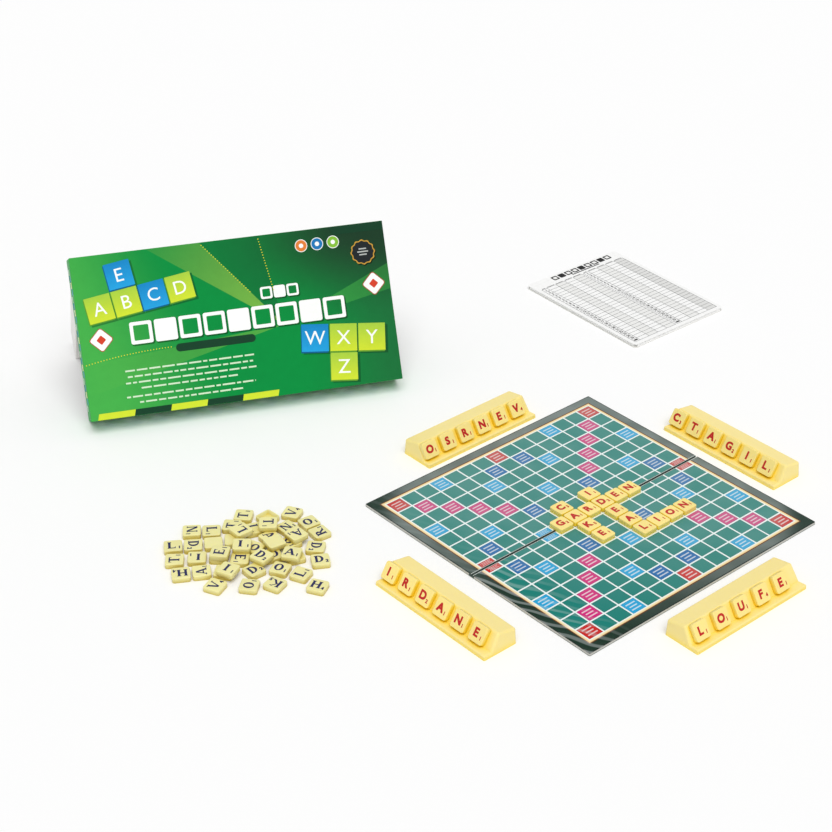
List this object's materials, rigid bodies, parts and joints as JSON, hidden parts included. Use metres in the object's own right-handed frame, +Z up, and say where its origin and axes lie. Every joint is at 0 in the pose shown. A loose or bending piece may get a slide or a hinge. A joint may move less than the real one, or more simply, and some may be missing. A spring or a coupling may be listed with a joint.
{
  "type": "word board game",
  "caption": "Word board game set out for play: folding squared board, letter tiles, tile racks, score pad, and a lidded card box propped open.",
  "frame": {"origin": "middle of the open board's underside, on the table", "axes": "+Z up from the table; +X along the board's fold, from the left rack to the right rack; +Y across the fold, from the near half to the far half"},
  "size_m": [0.87, 0.9137, 0.1824],
  "materials": {
    "lid_print": "printed and gloss laminated",
    "base_card": "plain paper wrap",
    "greyboard": "plain",
    "board_print": "printed and gloss laminated",
    "spine_cloth": "book cloth",
    "laid_tile": "moulded, satin",
    "loose_tile": "moulded, satin",
    "rack_plastic": "moulded, satin",
    "pad_paper": "uncoated, ruled",
    "pad_card": "plain",
    "pad_gum": "padding compound"
  },
  "bodies": {
    "standing_set": {"box_base": "base_card", "pad_backing_card": "pad_card", "pad_sheets": "pad_paper", "pad_gum_strip": "pad_gum", "heap_floor_tiles": "loose_tile", "heap_turned_tile": "loose_tile"},
    "lid": {"box_lid": "lid_print"},
    "board_spine": {"board_spine_cloth": "spine_cloth"},
    "board_far": {"board_panel_far": "greyboard", "board_print_far": "board_print", "board_cloth_far": "spine_cloth"},
    "board_near": {"board_panel_near": "greyboard", "board_print_near": "board_print", "board_cloth_near": "spine_cloth"},
    "word_tiles_far": {"tile_garden_g": "laid_tile", "tile_garden_a": "laid_tile", "tile_garden_r": "laid_tile", "tile_garden_d": "laid_tile", "tile_garden_e": "laid_tile", "tile_garden_n": "laid_tile", "tile_cake_c": "laid_tile", "tile_ideal_i": "laid_tile"},
    "word_tiles_near": {"tile_cake_k": "laid_tile", "tile_cake_e": "laid_tile", "tile_ideal_e": "laid_tile", "tile_ideal_a": "laid_tile", "tile_ideal_l": "laid_tile", "tile_lion_i": "laid_tile", "tile_lion_o": "laid_tile", "tile_lion_n": "laid_tile"},
    "pad_sheet": {"pad_top_sheet": "pad_paper"},
    "heap_top": {"heap_top_tiles": "loose_tile"},
    "rack_left": {"rack_left": "rack_plastic"},
    "rack_left_letters": {"rack_left_tiles": "laid_tile"},
    "rack_front": {"rack_front": "rack_plastic"},
    "rack_front_letters": {"rack_front_tiles": "laid_tile"},
    "rack_right": {"rack_right": "rack_plastic"},
    "rack_right_letters": {"rack_right_tiles": "laid_tile"},
    "rack_back": {"rack_back": "rack_plastic"},
    "rack_back_letters": {"rack_back_tiles": "laid_tile"}
  },
  "joints": [
    {"name": "lid_lift", "type": "slide", "parent": "standing_set", "child": "lid", "axis": [0, 0, 1], "range_m": [0, 0.2]},
    {"name": "board_lift", "type": "slide", "parent": "standing_set", "child": "board_spine", "axis": [0, 0, 1], "range_m": [0, 0.269]},
    {"name": "fold_far", "type": "hinge", "parent": "board_spine", "child": "board_far", "pos_m": [0, 0.001, 0], "axis": [-1, 0, 0], "range_deg": [0, 90]},
    {"name": "fold_near", "type": "hinge", "parent": "board_spine", "child": "board_near", "pos_m": [0, -0.001, 0], "axis": [1, 0, 0], "range_deg": [0, 90]},
    {"name": "word_tiles_far_lift", "type": "slide", "parent": "board_far", "child": "word_tiles_far", "axis": [0, 0, 1], "range_m": [0, 0.04]},
    {"name": "word_tiles_near_lift", "type": "slide", "parent": "board_near", "child": "word_tiles_near", "axis": [0, 0, 1], "range_m": [0, 0.04]},
    {"name": "pad_sheet_turn", "type": "hinge", "parent": "standing_set", "child": "pad_sheet", "pos_m": [0.38249, 0.41294, 0.0046], "axis": [-0.9994, 0.0349, 0], "range_deg": [0, 170]},
    {"name": "heap_top_lift", "type": "slide", "parent": "standing_set", "child": "heap_top", "axis": [0, 0, 1], "range_m": [0, 0.04]},
    {"name": "rack_left_lift", "type": "slide", "parent": "standing_set", "child": "rack_left", "axis": [0, 0, 1], "range_m": [0, 0.05]},
    {"name": "rack_left_letters_slide", "type": "slide", "parent": "rack_left", "child": "rack_left_letters", "axis": [0.5299, 0, 0.848], "range_m": [0, 0.025]},
    {"name": "rack_front_lift", "type": "slide", "parent": "standing_set", "child": "rack_front", "axis": [0, 0, 1], "range_m": [0, 0.05]},
    {"name": "rack_front_letters_slide", "type": "slide", "parent": "rack_front", "child": "rack_front_letters", "axis": [0, 0.5299, 0.848], "range_m": [0, 0.025]},
    {"name": "rack_right_lift", "type": "slide", "parent": "standing_set", "child": "rack_right", "axis": [0, 0, 1], "range_m": [0, 0.05]},
    {"name": "rack_right_letters_slide", "type": "slide", "parent": "rack_right", "child": "rack_right_letters", "axis": [0.5299, 0, 0.848], "range_m": [0, 0.025]},
    {"name": "rack_back_lift", "type": "slide", "parent": "standing_set", "child": "rack_back", "axis": [0, 0, 1], "range_m": [0, 0.05]},
    {"name": "rack_back_letters_slide", "type": "slide", "parent": "rack_back", "child": "rack_back_letters", "axis": [0, 0.5299, 0.848], "range_m": [0, 0.025]}
  ],
  "couplings": [
    {"joint": "fold_far", "follows": "board_lift", "rad_per_m": 5.83},
    {"joint": "fold_near", "follows": "board_lift", "rad_per_m": 5.83}
  ]
}
